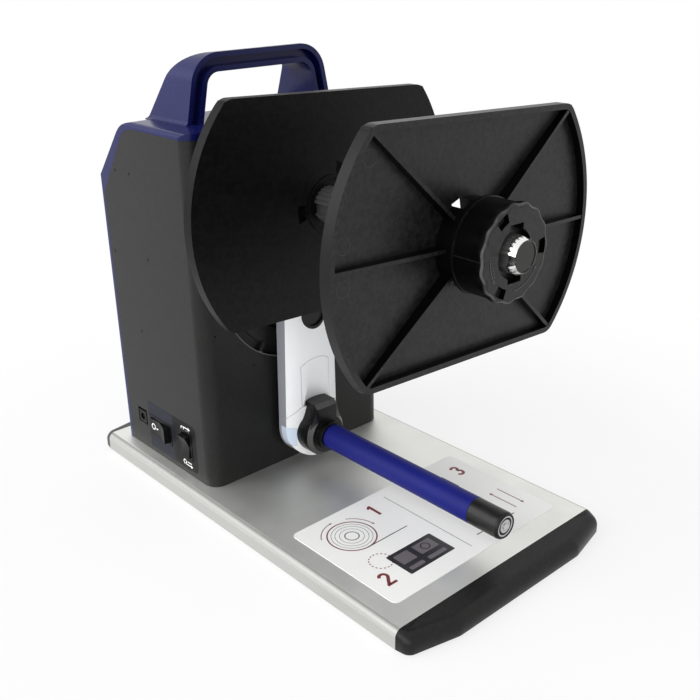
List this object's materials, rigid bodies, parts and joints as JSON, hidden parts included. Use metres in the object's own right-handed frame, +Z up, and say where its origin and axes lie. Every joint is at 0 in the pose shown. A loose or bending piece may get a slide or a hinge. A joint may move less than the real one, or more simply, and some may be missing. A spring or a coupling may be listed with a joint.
{
  "type": "label rewinder",
  "caption": "Desktop label rewinder with a motor housing and carry handle, a fluted spindle with roll flanges and a lock knob, and a sprung tension arm with a roller.",
  "frame": {"origin": "centre of the bounding box at the bottom of the rubber feet", "axes": "+Z up, the spindle and its lock knob point toward -Y, the switches are on the -X side"},
  "size_m": [0.25, 0.418, 0.359],
  "materials": {
    "plate": "satin",
    "black_plastic": "fine texture",
    "flange_plastic": "satin",
    "navy_plastic": "gloss",
    "dark_plastic": "satin",
    "rubber": "matte",
    "label": "smooth",
    "board": "satin",
    "steel": "satin",
    "turned_aluminium": "bright",
    "bronze": "satin",
    "silver_plastic": "gloss",
    "tab_plastic": "gloss",
    "blue_sleeve": "satin"
  },
  "bodies": {
    "base": {"base_plate": "plate", "front_end_cap": "black_plastic", "rear_end_cap": "black_plastic", "rubber_feet": "rubber", "instruction_label": "label", "front_cover": "black_plastic", "rear_cover": "navy_plastic", "cover_screws": "steel", "base_screws": "steel", "cover_post_screws": "steel", "switch_panel": "dark_plastic", "power_switch_frame": "black_plastic", "direction_switch_frame": "black_plastic", "dc_jack": "dark_plastic", "circuit_board": "board", "board_components": "dark_plastic", "board_standoffs": "steel", "chassis": "steel", "gear_plate": "steel", "plate_standoffs": "steel", "plate_screws": "steel", "front_bearing_housing": "turned_aluminium", "rear_bearing_housing": "turned_aluminium", "bearing_screws": "steel", "spindle_bearings": "steel", "gearbox": "steel", "motor": "steel", "arm_bush": "bronze", "arm_spring": "steel", "tension_sensor": "dark_plastic"},
    "motor_rotor": {"motor_shaft": "steel", "drive_pinion": "bronze"},
    "spindle": {"spindle_gear": "dark_plastic", "spindle_shaft": "steel", "spindle_core": "dark_plastic", "spindle_tip": "turned_aluminium", "spindle_hub": "dark_plastic", "inner_flange": "flange_plastic", "hub_screws": "steel"},
    "outer_flange_body": {"outer_flange": "flange_plastic", "knob_retainer": "steel"},
    "lock_knob_body": {"lock_knob": "flange_plastic"},
    "arm": {"arm_shaft": "steel", "arm_hub": "black_plastic", "stop_pin": "steel", "arm_plate": "steel", "arm_cover": "silver_plastic", "arm_lower_cover": "silver_plastic", "arm_tabs": "tab_plastic", "arm_cap": "black_plastic", "roller_mount": "black_plastic", "roller_shaft": "steel", "bearing_inner_rings": "steel"},
    "roller": {"bearing_outer_rings": "steel", "bearing_seals": "dark_plastic", "roller_sleeve": "blue_sleeve", "roller_end_cap": "black_plastic"},
    "power_rocker_body": {"power_rocker": "black_plastic"},
    "direction_rocker_body": {"direction_rocker": "black_plastic"}
  },
  "joints": [
    {"name": "arm_swing", "type": "hinge", "parent": "base", "child": "arm", "pos_m": [0, 0.0382, 0.1865], "axis": [0, 1, 0], "range_deg": [-28, 28], "stiffness_Nm_per_rad": 0.4},
    {"name": "roller_spin", "type": "hinge", "parent": "arm", "child": "roller", "pos_m": [0, -0.09, 0.0495], "axis": [0, 1, 0], "continuous": true},
    {"name": "spindle_spin", "type": "hinge", "parent": "base", "child": "spindle", "pos_m": [0, -0.05, 0.25], "axis": [0, 1, 0], "continuous": true},
    {"name": "motor_spin", "type": "hinge", "parent": "base", "child": "motor_rotor", "pos_m": [0.04596, 0.07, 0.21143], "axis": [0, 1, 0], "continuous": true},
    {"name": "flange_slide", "type": "slide", "parent": "spindle", "child": "outer_flange_body", "axis": [0, 1, 0], "range_m": [-0.02, 0.115]},
    {"name": "lock_turn", "type": "hinge", "parent": "outer_flange_body", "child": "lock_knob_body", "pos_m": [0, -0.173, 0.25], "axis": [0, 1, 0], "range_deg": [0, 60]},
    {"name": "power_press", "type": "hinge", "parent": "base", "child": "power_rocker_body", "pos_m": [-0.09235, 0.1156, 0.0443], "axis": [0, 0, 1], "range_deg": [0, 16]},
    {"name": "direction_press", "type": "hinge", "parent": "base", "child": "direction_rocker_body", "pos_m": [-0.09235, 0.0755, 0.0455], "axis": [0, 1, 0], "range_deg": [0, 16]}
  ],
  "couplings": [
    {"joint": "motor_spin", "follows": "spindle_spin", "ratio": -3}
  ]
}
